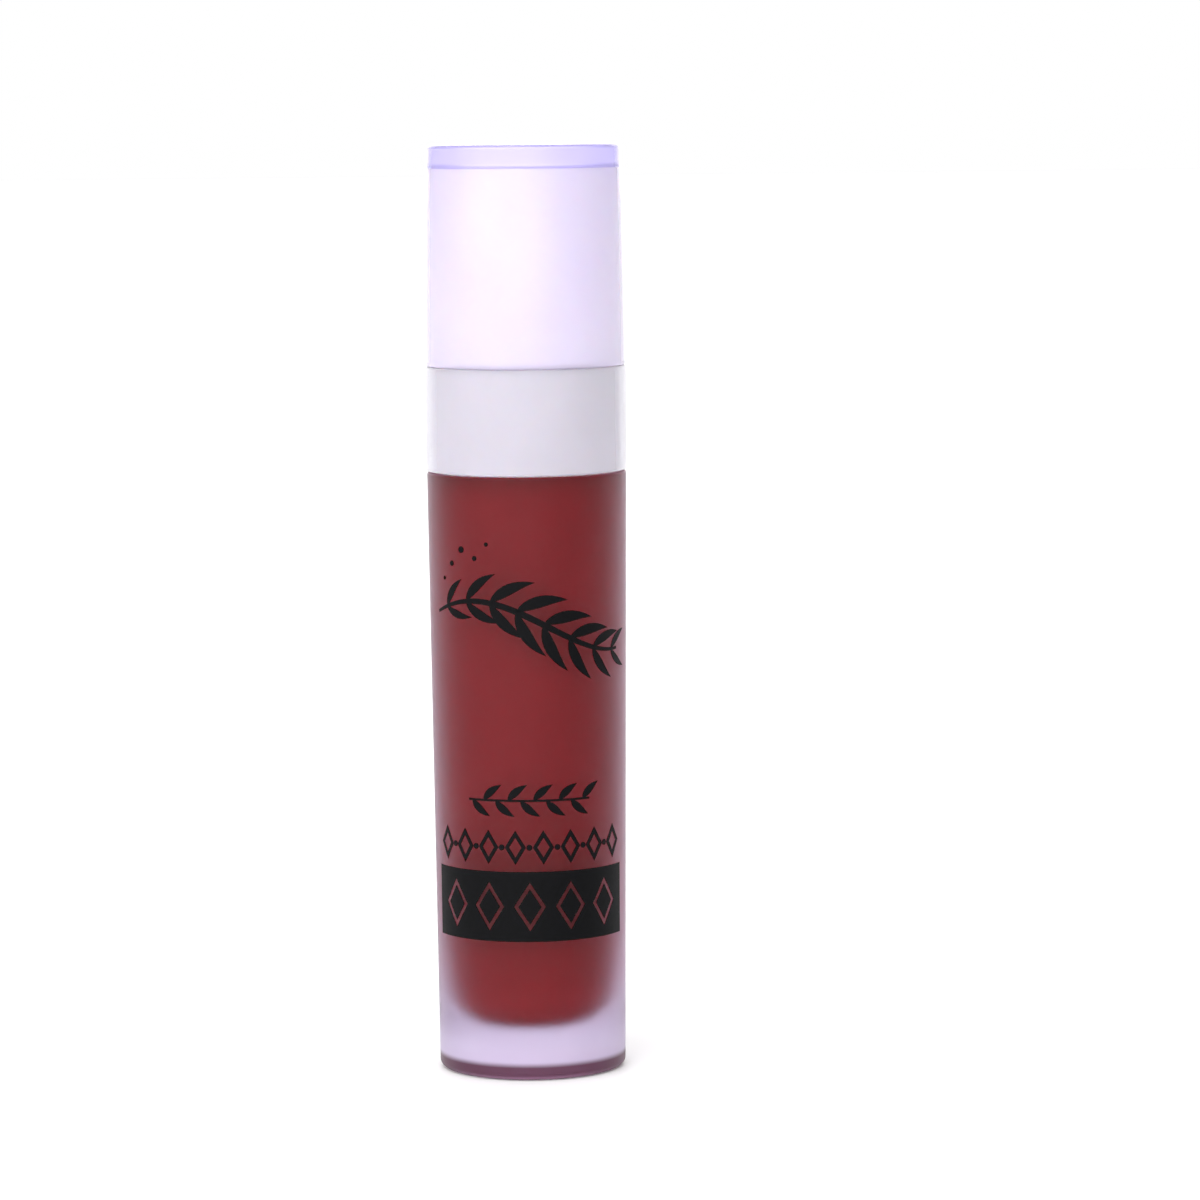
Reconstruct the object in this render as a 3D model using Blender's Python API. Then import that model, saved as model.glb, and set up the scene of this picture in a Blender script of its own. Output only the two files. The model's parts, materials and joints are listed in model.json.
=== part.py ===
"""Lip gloss tube with a screw cap and a doe-foot applicator, closed.

The origin is the centre of the tube's flat base, +Z runs up the tube, and the printed front faces -Y.
Lengths are written in millimetres and turned into metres where each mesh is made.
"""

import math

import bmesh
import bpy
from mathutils import Matrix, Vector

MM = 0.001
SEGMENTS = 48  # sides of the large round pieces
FINE_SEGMENTS = 24  # sides of the wand and the tip

# Driving dimensions, in millimetres.
HEIGHT = 91.2
FROSTED_TOP = 59.2  # where the frosted body ends and the clear collar begins
COLLAR_TOP = 69.45
BASE_R = 9.2
BODY_R = 9.8  # at the top of the frosted body: the mould draft runs down to BASE_R
COLLAR_R = 9.9
CAP_MOUTH_R = 9.8
CAP_TOP_R = 9.5
GAP = 0.1  # between faces that meet
SEAT_GAP = 0.15  # between faces that meet when the cap is closed
END_GAP = 0.2  # past the end of a piece in its hole
RUNNING_GAP = 0.3  # around what turns or is filled

# Bottle.
FLOOR = 4.5
BASE_FILLET = 0.7
CAVITY_FLOOR_R = 5.0
CAVITY_KNEE_R = 5.95
CAVITY_KNEE = 14.0  # height where the wall steepens
CAVITY_TOP_R = 6.9
CAVITY_TOP = 66.0
CAVITY_FLOOR_FILLET = 3.2
CAVITY_KNEE_FILLET = 30.0
SHOULDER_R = 9.2  # the stepped-in part that carries the collar
SHOULDER_FILLET = 0.8
NECK_R = 7.0
NECK_TOP = 84.3
NECK_BORE_R = 5.3
NECK_BORE_FOOT = 70.6
BORE_CONE = 1.6  # height of the cone from the cavity up to the neck's bore
NECK_BEAD_R = 7.5
NECK_BEAD_Z = (71.0, 71.8)
GLOSS_LEVEL = 59.8

# Cap.
CAP_MOUTH = COLLAR_TOP + SEAT_GAP
CAP_WALL = 0.85
CAP_END = 2.05  # thickness of the clear end
LINER_MOUTH = CAP_MOUTH + 0.25
LINER_TOP = HEIGHT - CAP_END - END_GAP
LINER_BORE_R = 7.9
LINER_ENTRY_R = 8.2  # wider lead-in below the thread
LINER_ENTRY_TOP = CAP_MOUTH + 3.5
LINER_CEILING = 86.2
SOCKET_R = 2.35
SOCKET_WALL = 0.85
SOCKET_FOOT = 82.0
SOCKET_TOP = 87.4

# Two-start thread shared by the neck and the liner.
THREAD_STARTS = 2
THREAD_LEAD = 6.0
THREAD_TURNS = 1.3
THREAD_FOOT = 73.6  # middle of the neck's ridge where it starts
THREAD_BASE_WIDTH = 1.2
THREAD_CREST_WIDTH = 0.5
THREAD_ROOTED = 0.2  # how deep a ridge is set into its wall
NECK_CREST_R = 7.6
LINER_CREST_R = 7.3

# Seals.
FLANGE_THICKNESS = 0.6
FLANGE_R = NECK_R - 0.4
WIPER_R = 5.15
WIPER_WALL = 0.65
WIPER_SLEEVE_FOOT = 77.6
WIPER_FOOT = 74.8
LIP_HEIGHT = 0.3
LIP_WALL = 0.45
WASHER_THICKNESS = 0.85
WASHER_R = 7.4
WASHER_HOLE_R = 3.6

# Applicator.
WAND_R = 2.15
WAND_TOP = SOCKET_TOP - END_GAP
WAND_BEAD = 0.1  # how far the retaining beads stand out
WAND_BEAD_HEIGHT = 0.6
WAND_BEADS_DOWN = (0.4, 2.2)  # from the wand's top to the top of each bead
WAND_FOOT = 18.9
WAND_FOOT_R = 1.95
WAND_NECK_Z = (WAND_FOOT + 0.9, WAND_FOOT + 1.8)  # where the stem narrows to its foot
SPIGOT_R = 1.15
SPIGOT_TOP = 23.0
SPIGOT_ROOT = 1.6  # how deep the spigot reaches into the core
TIP_TOP = WAND_FOOT - SEAT_GAP
TIP_LENGTH = 12.5
TIP_LEAN = math.radians(9.5)
TIP_BEND = 2.5  # length of the bend where the tip leaves the wand
TIP_ROOT_ROUND = 0.9
TIP_ROOT_SWELL = 0.8  # width at the root, as a share of the full width
TIP_END_ROUND = 2.9
TIP_HALF_WIDTH = 2.55
TIP_HALF_DEPTH = 2.3
FLOCK_THICKNESS = 0.55


def clear_scene():
    for item in list(bpy.data.objects):
        bpy.data.objects.remove(item, do_unlink=True)


def material(name, colour, roughness, alpha=1.0):
    """A Principled material of an sRGB colour."""
    made = bpy.data.materials.new(name)
    made.use_nodes = True
    shader = made.node_tree.nodes["Principled BSDF"]
    linear = [pow(channel, 2.2) for channel in colour]
    shader.inputs["Base Color"].default_value = (*linear, 1.0)
    shader.inputs["Roughness"].default_value = roughness
    shader.inputs["Metallic"].default_value = 0.0
    shader.inputs["Alpha"].default_value = alpha
    return made


def rounded(corners):
    """The outline through corners (r, z, fillet radius): an arc of more steps, the larger the fillet."""
    points = []
    for index, (r, z, radius) in enumerate(corners):
        corner = Vector((r, z))
        if radius == 0:
            points.append(corner)
            continue
        before = (Vector(corners[index - 1][:2]) - corner).normalized()
        after = (Vector(corners[(index + 1) % len(corners)][:2]) - corner).normalized()
        half = before.angle(after) / 2
        centre = corner + (before + after).normalized() * radius / math.sin(half)
        first = corner + before * radius / math.tan(half) - centre
        last = corner + after * radius / math.tan(half) - centre
        turn = first.angle_signed(last)
        steps = 1 if radius <= 0.3 else 2 if radius < 1 else 6
        for step in range(steps + 1):
            # angle_signed counts clockwise as positive, and Matrix.Rotation anticlockwise
            points.append(centre + Matrix.Rotation(-turn * step / steps, 2) @ first)
    return points


def finish_mesh(name, bm, surface, smooth_below=35):
    """Turns a bmesh in millimetres into a smooth-shaded object in metres."""
    bmesh.ops.remove_doubles(bm, verts=bm.verts, dist=1e-4)
    bmesh.ops.recalc_face_normals(bm, faces=bm.faces)
    bmesh.ops.scale(bm, vec=(MM, MM, MM), verts=bm.verts)
    mesh = bpy.data.meshes.new(name)
    bm.to_mesh(mesh)
    bm.free()
    mesh.materials.append(surface)
    mesh.shade_smooth()
    mesh.set_sharp_from_angle(angle=math.radians(smooth_below))
    made = bpy.data.objects.new(name, mesh)
    bpy.context.scene.collection.objects.link(made)
    return made


def turned(name, outline, surface, segments=SEGMENTS):
    """Spins an outline of (r, z) points about Z. One that starts and ends on the axis is left open there."""
    bm = bmesh.new()
    verts = [bm.verts.new((r, 0, z)) for r, z in outline]
    edges = [bm.edges.new(pair) for pair in zip(verts, verts[1:])]
    if outline[0][0] > 0:
        edges.append(bm.edges.new((verts[-1], verts[0])))
    bmesh.ops.spin(
        bm, geom=verts + edges, cent=(0, 0, 0), axis=(0, 0, 1), angle=math.tau, steps=segments,
        use_merge=True,
    )
    return finish_mesh(name, bm, surface)


def lofted(name, rings, surface):
    """Joins rings of equal length in turn, and closes each end that isn't already a point."""
    bm = bmesh.new()
    loops = [[bm.verts.new(point) for point in ring] for ring in rings]
    for lower, upper in zip(loops, loops[1:]):
        count = len(lower)
        for side in range(count):
            after = (side + 1) % count
            bm.faces.new((lower[side], lower[after], upper[after], upper[side]))
    for loop in (loops[0], loops[-1]):
        bm.faces.new(loop)
    return finish_mesh(name, bm, surface)


def thread_ridge(name, root_r, crest_r, middle_z, start_angle, surface):
    """One right-hand helical ridge of a trapezoid section that dies away at both ends."""
    steps = round(THREAD_TURNS * SEGMENTS)
    fade_steps = SEGMENTS // 8
    sections = []
    for step in range(steps + 1):
        angle = math.tau * step / SEGMENTS
        height = min(1, step / fade_steps, (steps - step) / fade_steps)
        crest = root_r + (crest_r - root_r) * max(height, 0.1)
        z = middle_z + THREAD_LEAD * angle / math.tau
        around = Matrix.Rotation(angle + start_angle, 3, "Z")
        corners = (
            (root_r, -THREAD_BASE_WIDTH / 2),
            (crest, -THREAD_CREST_WIDTH / 2),
            (crest, THREAD_CREST_WIDTH / 2),
            (root_r, THREAD_BASE_WIDTH / 2),
        )
        sections.append([around @ Vector((r, 0, z + rise)) for r, rise in corners])
    return lofted(name, sections, surface)


def add_boolean(target, cutter, operation):
    cutter.hide_render = True
    cutter.display_type = "WIRE"
    modifier = target.modifiers.new(cutter.name, "BOOLEAN")
    modifier.operation = operation
    modifier.object = cutter


def add_threads(target, root_r, crest_r, first_z, surface):
    for start in range(THREAD_STARTS):
        ridge_name = f"{target.name}_thread_{start + 1}"
        angle = math.tau * start / THREAD_STARTS
        add_boolean(target, thread_ridge(ridge_name, root_r, crest_r, first_z, angle, surface), "UNION")


def bottle():
    """Heavy-walled frosted bottle, with the stepped-in shoulder, the neck and its thread."""
    frosted = material("frosted_petg", (0.83, 0.79, 0.90), 0.45, alpha=0.6)
    outline = rounded(
        [
            (0, 0, 0),
            (BASE_R, 0, BASE_FILLET),
            (BODY_R, FROSTED_TOP, 0.2),
            (SHOULDER_R, FROSTED_TOP, 0),
            (SHOULDER_R, COLLAR_TOP - GAP, SHOULDER_FILLET),
            (NECK_R, COLLAR_TOP - GAP, 0),
            (NECK_R, NECK_BEAD_Z[0], 0),
            (NECK_BEAD_R, NECK_BEAD_Z[0], 0.2),
            (NECK_BEAD_R, NECK_BEAD_Z[1], 0.2),
            (NECK_R, NECK_BEAD_Z[1], 0),
            (NECK_R, NECK_TOP, 0.3),
            (NECK_BORE_R, NECK_TOP, 0.2),
            (NECK_BORE_R, NECK_BORE_FOOT, 0),
            (CAVITY_TOP_R, NECK_BORE_FOOT - BORE_CONE, 1.0),
            (CAVITY_TOP_R, CAVITY_TOP, 0),
            (CAVITY_KNEE_R, CAVITY_KNEE, CAVITY_KNEE_FILLET),
            (CAVITY_FLOOR_R, FLOOR, CAVITY_FLOOR_FILLET),
            (0, FLOOR, 0),
        ]
    )
    made = turned("bottle", outline, frosted)
    add_threads(made, NECK_R - THREAD_ROOTED, NECK_CREST_R, THREAD_FOOT, frosted)
    return made


def collar_ring():
    """Clear ring pressed over the bottle's shoulder."""
    foot, inner_r = FROSTED_TOP + GAP, SHOULDER_R + GAP
    outline = rounded(
        [
            (inner_r, foot, 0),
            (COLLAR_R, foot, 0.25),
            (COLLAR_R, COLLAR_TOP, 0.15),
            (inner_r, COLLAR_TOP, 0),
        ]
    )
    return turned("collar_ring", outline, material("clear_acrylic", (0.93, 0.91, 0.94), 0.05, alpha=0.35))


def wiper():
    """Soft plug in the neck, whose lip hugs the wand."""
    flange_foot = NECK_TOP + GAP
    inner_r = WIPER_R - WIPER_WALL
    lip_r = WAND_R + GAP
    outline = rounded(
        [
            (inner_r, flange_foot + FLANGE_THICKNESS, 0.2),
            (inner_r, WIPER_SLEEVE_FOOT, 0),
            (lip_r, WIPER_FOOT + LIP_HEIGHT, 0),
            (lip_r, WIPER_FOOT, 0),
            (lip_r + LIP_WALL, WIPER_FOOT, 0),
            (WIPER_R, WIPER_SLEEVE_FOOT - LIP_HEIGHT, 0),
            (WIPER_R, flange_foot, 0),
            (FLANGE_R, flange_foot, 0),
            (FLANGE_R, flange_foot + FLANGE_THICKNESS, 0.2),
        ]
    )
    return turned("wiper", outline, material("soft_polyethylene", (0.93, 0.92, 0.93), 0.5))


def tip_axis(along):
    """The point and angle of the tip's centreline: it bends out of the wand and then leans straight."""
    bend_r = TIP_BEND / TIP_LEAN
    angle = min(max(along / bend_r, 0), TIP_LEAN)
    beyond = along - angle * bend_r
    x = bend_r * (1 - math.cos(angle)) + math.sin(angle) * beyond
    z = TIP_TOP - bend_r * math.sin(angle) - math.cos(angle) * beyond
    return Vector((x, 0, z)), angle


def doe_foot_ring(along, grow):
    """A ring of the tip's surface at a distance along its centreline, moved outward by grow."""
    root_round, end_round = TIP_ROOT_ROUND + grow, TIP_END_ROUND + grow
    root, end = along + grow, TIP_LENGTH + grow - along
    swell = 1.0
    if root < root_round:
        swell = TIP_ROOT_SWELL + (1 - TIP_ROOT_SWELL) * math.sqrt(1 - (1 - max(root, 0) / root_round) ** 2)
    if end < end_round:
        swell = math.sqrt(max(1 - (1 - end / end_round) ** 2, 0))
    centre, angle = tip_axis(along)
    across = Vector((math.cos(angle), 0, math.sin(angle)))
    ring = []
    for side in range(FINE_SEGMENTS):
        turn = math.tau * side / FINE_SEGMENTS
        depth = (TIP_HALF_DEPTH + grow) * swell * math.cos(turn)
        width = (TIP_HALF_WIDTH + grow) * swell * math.sin(turn)
        ring.append(centre + across * depth + Vector((0, width, 0)))
    return ring


def doe_foot_rings(grow, first):
    """Rings of the tip's surface from a distance along it to the middle of its rounded end."""
    end = TIP_LENGTH + grow
    root_steps, body_steps, end_steps = 3, 5, 6
    root_end, body_end = first + TIP_ROOT_ROUND, end - TIP_END_ROUND - grow
    places = [first + (root_end - first) * step / root_steps for step in range(root_steps)]
    places += [root_end + (body_end - root_end) * step / body_steps for step in range(body_steps)]
    for step in range(end_steps + 1):
        places.append(end - (end - body_end) * (1 - math.sin(math.pi / 2 * step / end_steps)))
    return [doe_foot_ring(place, grow) for place in places]


def gloss():
    """The liquid, with the room that the wand and the tip take up in it."""
    widening = (CAVITY_TOP_R - CAVITY_KNEE_R) * (GLOSS_LEVEL - CAVITY_KNEE) / (CAVITY_TOP - CAVITY_KNEE)
    outline = rounded(
        [
            (0, FLOOR + GAP, 0),
            (CAVITY_FLOOR_R - GAP, FLOOR + GAP, CAVITY_FLOOR_FILLET),
            (CAVITY_KNEE_R - GAP, CAVITY_KNEE, CAVITY_KNEE_FILLET),
            (CAVITY_KNEE_R - GAP + widening, GLOSS_LEVEL, 0),
            (0, GLOSS_LEVEL, 0),
        ]
    )
    dark_red = material("dark_red_gloss", (0.50, 0.17, 0.18), 0.35)
    made = turned("gloss", outline, dark_red)
    well_r, well_foot, well_top = WAND_R + RUNNING_GAP, WAND_FOOT - 1, GLOSS_LEVEL + 2
    well = [(0, well_foot), (well_r, well_foot), (well_r, well_top), (0, well_top)]
    add_boolean(made, turned("wand_well", well, dark_red, FINE_SEGMENTS), "DIFFERENCE")
    tip_room = doe_foot_rings(RUNNING_GAP, -RUNNING_GAP)
    add_boolean(made, lofted("tip_well", tip_room, dark_red), "DIFFERENCE")
    return made


def sealing_washer():
    """Soft washer under the liner's ceiling, which closes on the wiper's flange."""
    foot = NECK_TOP + GAP + FLANGE_THICKNESS + SEAT_GAP
    outline = rounded(
        [
            (WASHER_HOLE_R, foot, 0),
            (WASHER_R, foot, 0.2),
            (WASHER_R, foot + WASHER_THICKNESS, 0.2),
            (WASHER_HOLE_R, foot + WASHER_THICKNESS, 0),
        ]
    )
    return turned("sealing_washer", outline, material("foamed_polyethylene", (0.90, 0.90, 0.91), 0.7))


def cap_shell():
    """Clear lavender outer cap with a solid end."""
    inner_top = HEIGHT - CAP_END
    outline = rounded(
        [
            (0, HEIGHT, 0),
            (CAP_TOP_R, HEIGHT, 0.45),
            (CAP_MOUTH_R, CAP_MOUTH, 0.15),
            (CAP_MOUTH_R - CAP_WALL, CAP_MOUTH, 0.15),
            (CAP_TOP_R - CAP_WALL, inner_top, 0.4),
            (0, inner_top, 0),
        ]
    )
    return turned("cap_shell", outline, material("lavender_acrylic", (0.90, 0.86, 0.99), 0.15, alpha=0.5))


def cap_liner():
    """White inner cap with the thread and the wand's socket."""
    outer_gap = CAP_WALL + GAP
    white = material("white_polypropylene", (0.96, 0.94, 0.99), 0.4)
    outline = rounded(
        [
            (0, LINER_TOP, 0),
            (CAP_TOP_R - outer_gap, LINER_TOP, 0.4),
            (CAP_MOUTH_R - outer_gap, LINER_MOUTH, 0.2),
            (LINER_ENTRY_R, LINER_MOUTH, 0.1),
            (LINER_ENTRY_R, LINER_ENTRY_TOP, 0),
            (LINER_BORE_R, LINER_ENTRY_TOP + 0.3, 0),
            (LINER_BORE_R, LINER_CEILING, 0.3),
            (SOCKET_R + SOCKET_WALL, LINER_CEILING, 0),
            (SOCKET_R + SOCKET_WALL, SOCKET_FOOT, 0.25),
            (SOCKET_R, SOCKET_FOOT, 0.2),
            (SOCKET_R, SOCKET_TOP, 0),
            (0, SOCKET_TOP, 0),
        ]
    )
    made = turned("cap_liner", outline, white)
    half_pitch = THREAD_LEAD / THREAD_STARTS / 2
    add_threads(made, LINER_BORE_R + THREAD_ROOTED, LINER_CREST_R, THREAD_FOOT + half_pitch, white)
    return made


def wand():
    """Moulded stem, with two retaining beads in its socket and a bore for the tip's spigot."""
    bore_r, bore_top = SPIGOT_R + END_GAP, SPIGOT_TOP + 2 * END_GAP
    neck_low, neck_high = WAND_NECK_Z
    corners = [(0, WAND_TOP, 0), (WAND_R - WAND_BEAD, WAND_TOP, 0)]
    for down in WAND_BEADS_DOWN:
        bead_top = WAND_TOP - down
        corners += [
            (WAND_R, bead_top, 0),
            (WAND_R + WAND_BEAD, bead_top - WAND_BEAD_HEIGHT / 2, 0),
            (WAND_R, bead_top - WAND_BEAD_HEIGHT, 0),
        ]
    corners += [
        (WAND_R, neck_high, 0.8),
        (WAND_FOOT_R, neck_low, 0.8),
        (WAND_FOOT_R, WAND_FOOT, 0.15),
        (bore_r, WAND_FOOT, 0),
        (bore_r, bore_top, 0),
        (0, bore_top, 0),
    ]
    pale_pink = material("pale_pink_polypropylene", (0.99, 0.93, 0.925), 0.35)
    return turned("wand", rounded(corners), pale_pink, FINE_SEGMENTS)


def tip_core():
    """Bendy core of the doe-foot tip, plugged into the wand."""
    surface = material("tip_elastomer", (0.80, 0.62, 0.62), 0.5)
    rings = doe_foot_rings(-FLOCK_THICKNESS - GAP, FLOCK_THICKNESS + GAP)
    made = lofted("tip_core", rings, surface)
    spigot_foot = TIP_TOP - SPIGOT_ROOT
    plug = [(0, spigot_foot), (SPIGOT_R, spigot_foot), (SPIGOT_R, SPIGOT_TOP), (0, SPIGOT_TOP)]
    add_boolean(made, turned("spigot", plug, surface, FINE_SEGMENTS), "UNION")
    return made


def tip_flock():
    """Flocked coat of the tip, open where the spigot goes into the wand."""
    outside = doe_foot_rings(0, 0)
    inside = doe_foot_rings(-FLOCK_THICKNESS, 0)
    return lofted("tip_flock", inside[::-1] + outside, material("crimson_flock", (0.47, 0.04, 0.11), 0.95))


def main():
    clear_scene()
    for make in (bottle, collar_ring, wiper, gloss):
        make()
    applicator = bpy.data.objects.new("applicator_axis", None)
    bpy.context.scene.collection.objects.link(applicator)
    for make in (sealing_washer, cap_shell, cap_liner, wand, tip_core, tip_flock):
        make().parent = applicator


main()
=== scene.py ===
"""The looks of the lip gloss tube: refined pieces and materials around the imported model.

Lengths are in millimetres, worked out from the frame, and turned into metres where each mesh is made.
"""

import json
import math
import random

import bmesh
import bpy
from mathutils import Matrix, Vector, noise


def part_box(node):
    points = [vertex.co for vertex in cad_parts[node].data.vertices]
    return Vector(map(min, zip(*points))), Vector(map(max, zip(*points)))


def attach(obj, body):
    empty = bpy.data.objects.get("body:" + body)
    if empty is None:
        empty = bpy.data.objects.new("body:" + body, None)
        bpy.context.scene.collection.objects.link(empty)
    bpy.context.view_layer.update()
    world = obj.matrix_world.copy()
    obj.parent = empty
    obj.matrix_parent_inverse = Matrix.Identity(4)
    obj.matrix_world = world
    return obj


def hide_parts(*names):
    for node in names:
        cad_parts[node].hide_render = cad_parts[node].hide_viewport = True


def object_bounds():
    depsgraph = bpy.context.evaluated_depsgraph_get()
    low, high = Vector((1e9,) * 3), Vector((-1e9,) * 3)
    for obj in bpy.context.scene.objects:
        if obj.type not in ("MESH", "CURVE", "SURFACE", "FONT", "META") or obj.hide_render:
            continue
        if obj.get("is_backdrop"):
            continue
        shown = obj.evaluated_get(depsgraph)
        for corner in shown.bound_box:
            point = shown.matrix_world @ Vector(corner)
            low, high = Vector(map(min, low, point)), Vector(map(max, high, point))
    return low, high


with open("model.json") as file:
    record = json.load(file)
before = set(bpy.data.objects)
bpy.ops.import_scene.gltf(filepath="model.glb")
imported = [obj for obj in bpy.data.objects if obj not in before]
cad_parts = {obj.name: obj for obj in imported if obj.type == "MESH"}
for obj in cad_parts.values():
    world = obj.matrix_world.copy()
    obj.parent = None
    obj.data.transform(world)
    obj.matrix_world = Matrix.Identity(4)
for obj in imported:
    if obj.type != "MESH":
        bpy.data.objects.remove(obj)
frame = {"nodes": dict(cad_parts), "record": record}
cad_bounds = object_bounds()

MM = 0.001
SEGMENTS = 144  # sides of the large round pieces
FINE_SEGMENTS = 64  # sides of the wand and the tip
SHARP_ABOVE = math.radians(50)  # an edge with a larger angle than this is shaded sharp
ARC_STEP = 0.18  # length of a step along a fillet's arc
ARC_STEPS = (3, 24)  # the fewest and the most steps in an arc
THREAD_ROW = 0.15  # height of a row of faces where a thread runs
THREAD_MARGIN = 1.0  # those rows go on for this much below and above the thread
NOISE_LOW_HIGH = (0.3, 0.7)  # most of a noise's values lie between these
ON_AXIS = 1e-6  # a point closer to the axis than this is on it
HOLD = 0.04  # from the end of an outline's long stretch to the point that holds its shading
LONG = 10 * HOLD  # an outline's stretches above this length are held
EDGE = 0.01  # a face's middle within this of an edge between two surfaces is still on the edge


# --- Sizes, read from the frame -----------------------------------------------------------------


def foot_of(node):
    """The height of a CAD node's lowest point."""
    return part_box(node)[0].z / MM


def top_of(node):
    """The height of a CAD node's highest point."""
    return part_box(node)[1].z / MM


def radii_between(node, low, high):
    """The smallest and largest distance from the axis of a CAD node's points between two heights."""
    points = [v.co / MM for v in frame["nodes"][node].data.vertices]
    found = [math.hypot(p.x, p.y) for p in points if low <= p.z <= high]
    return min(found), max(found)


HEIGHT = top_of("cap_shell")
CAP_MOUTH = foot_of("cap_shell")
COLLAR_FOOT = foot_of("collar_ring")
COLLAR_TOP = top_of("collar_ring")
NECK_TOP = top_of("bottle")
GLOSS_FOOT = foot_of("gloss")
GLOSS_LEVEL = top_of("gloss")
LINER_MOUTH = foot_of("cap_liner")
LINER_TOP = top_of("cap_liner")
WASHER_FOOT = foot_of("sealing_washer")
WASHER_TOP = top_of("sealing_washer")
WIPER_FOOT = foot_of("wiper")
WIPER_TOP = top_of("wiper")
WAND_FOOT = foot_of("wand")
WAND_TOP = top_of("wand")

# Between the two heights, the smallest or largest distance found is that of the feature named.
BASE_R = radii_between("bottle", 0.3, 2.0)[1]
BODY_R = radii_between("bottle", 50.0, COLLAR_FOOT)[1]
SHOULDER_R = radii_between("bottle", COLLAR_FOOT + 1, COLLAR_TOP)[1]
NECK_R = radii_between("bottle", NECK_TOP - 1.0, NECK_TOP - 0.2)[1]
NECK_CREST_R = radii_between("bottle", 75.0, 80.0)[1]
COLLAR_INNER_R, COLLAR_R = radii_between("collar_ring", COLLAR_FOOT, COLLAR_TOP)
CAP_MOUTH_R = radii_between("cap_shell", CAP_MOUTH, CAP_MOUTH + 1)[1]
CAP_TOP_R = radii_between("cap_shell", HEIGHT - 1, HEIGHT)[1]
LINER_CREST_R = radii_between("cap_liner", 76.0, 81.0)[0]
WASHER_HOLE_R, WASHER_R = radii_between("sealing_washer", WASHER_FOOT, WASHER_TOP)
WAND_R = radii_between("wand", 84.0, 84.5)[1]

# Sizes that the frame doesn't give directly.
GAP = 0.1  # between faces that meet
CAVITY_FLOOR_R = 5.0
CAVITY_KNEE_R = 5.95
CAVITY_KNEE = 14.0  # height where the wall steepens
CAVITY_TOP_R = 6.9
CAVITY_TOP = 66.0
CAVITY_FLOOR_FILLET = 3.2
CAVITY_KNEE_FILLET = 30.0
SHOULDER_WAIST = 0.3  # how far the shoulder is drawn in at its foot
SHOULDER_WAIST_HEIGHT = 1.3
NECK_BORE_R = 5.3
NECK_BORE_FOOT = 70.6
NECK_BEAD_R = 7.5
NECK_BEAD_Z = (71.0, 71.8)
BORE_CONE = 1.6  # height of the cone from the cavity up to the neck's bore
CAP_WALL = 0.85
CAP_END = 2.05  # thickness of the clear end
LINER_ENTRY_R = 8.2  # wider lead-in below the thread
LINER_ENTRY_HEIGHT = 3.5
LINER_BORE_R = 7.9
LINER_CEILING = WASHER_TOP + 0.2
SOCKET_R = 2.35
SOCKET_WALL = 0.85
SOCKET_FOOT = 82.0
SOCKET_TOP = 87.4
WIPER_R = NECK_BORE_R - 0.15
WIPER_BORE_R = NECK_BORE_R - 0.8
WIPER_FLANGE_R = NECK_R - 0.4
WIPER_CONE = (2.4, 2.8)  # from the wiper's foot up to where its cone ends, outside and inside
LIP_HEIGHT = 0.3
LIP_WALL = 0.45
WAND_BEAD = 0.1  # how far the retaining beads stand out
WAND_BEAD_HEIGHT = 0.6
WAND_BEADS_DOWN = (0.4, 2.2)  # from the wand's top to the top of each bead
WAND_FOOT_R = 1.95
WAND_NECK_Z = (WAND_FOOT + 0.9, WAND_FOOT + 1.8)  # where the stem narrows to its foot
WAND_BORE_R = 1.35
WAND_BORE_TOP = 23.4
THREAD_LEAD = frame["record"]["behaviour"]["couplings"][0]["ratio"] * math.tau / MM
THREAD_STARTS = 2
THREAD_TURNS = 1.3
THREAD_FADE = math.tau / 10  # the turn over which a thread rises at each end
THREAD_FOOT = 73.6  # middle of the neck's ridge where it starts
THREAD_BASE_WIDTH = 1.2
THREAD_CREST_WIDTH = 0.5
MENISCUS = 0.5  # how far the gloss climbs the cavity's wall
SEAM = 0.03  # height of the line between the collar and the cap
WELL_GAP = 0.3  # around the wand and the tip in the gloss
WELL_BELOW, WELL_ABOVE = 1, 2  # how far that room goes below the wand and above the gloss
CONTACT = 0.03  # how far an opaque piece reaches into the clear one around it, so no air shows between
TAPER = (BODY_R - BASE_R) / (COLLAR_FOOT - GAP)  # growth of the bottle's radius with height


# --- Mesh helpers -------------------------------------------------------------------------------


def rounded(corners):
    """The outline through corners (r, z, fillet radius), with an arc where there is a radius."""
    fewest, most = ARC_STEPS
    points = []
    for index, (r, z, radius) in enumerate(corners):
        corner = Vector((r, z))
        if radius == 0:
            points.append(corner)
            continue
        before = (Vector(corners[index - 1][:2]) - corner).normalized()
        after = (Vector(corners[(index + 1) % len(corners)][:2]) - corner).normalized()
        half = before.angle(after) / 2
        centre = corner + (before + after).normalized() * radius / math.sin(half)
        first = corner + before * radius / math.tan(half) - centre
        last = corner + after * radius / math.tan(half) - centre
        turn = first.angle_signed(last)
        steps = max(fewest, min(most, math.ceil(abs(turn) * radius / ARC_STEP)))
        for step in range(steps + 1):
            points.append(centre + Matrix.Rotation(-turn * step / steps, 2) @ first)
    return points


def rows_between(outline, low, high):
    """Adds points to the outline's steep stretches between two heights, a thread row apart."""
    rows = [outline[0]]
    for before, after in zip(outline, outline[1:]):
        inside = min(before.y, after.y) < high and max(before.y, after.y) > low
        count = math.ceil(abs(after.y - before.y) / THREAD_ROW) if inside else 1
        rows += [before.lerp(after, step / count) for step in range(1, count + 1)]
    return rows


def thread_reach(foot):
    """The heights between which the rows of a thread that starts at foot lie."""
    return foot - THREAD_MARGIN, foot + THREAD_LEAD * THREAD_TURNS + THREAD_MARGIN


def on_axis(point):
    return point[0] < ON_AXIS


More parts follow.
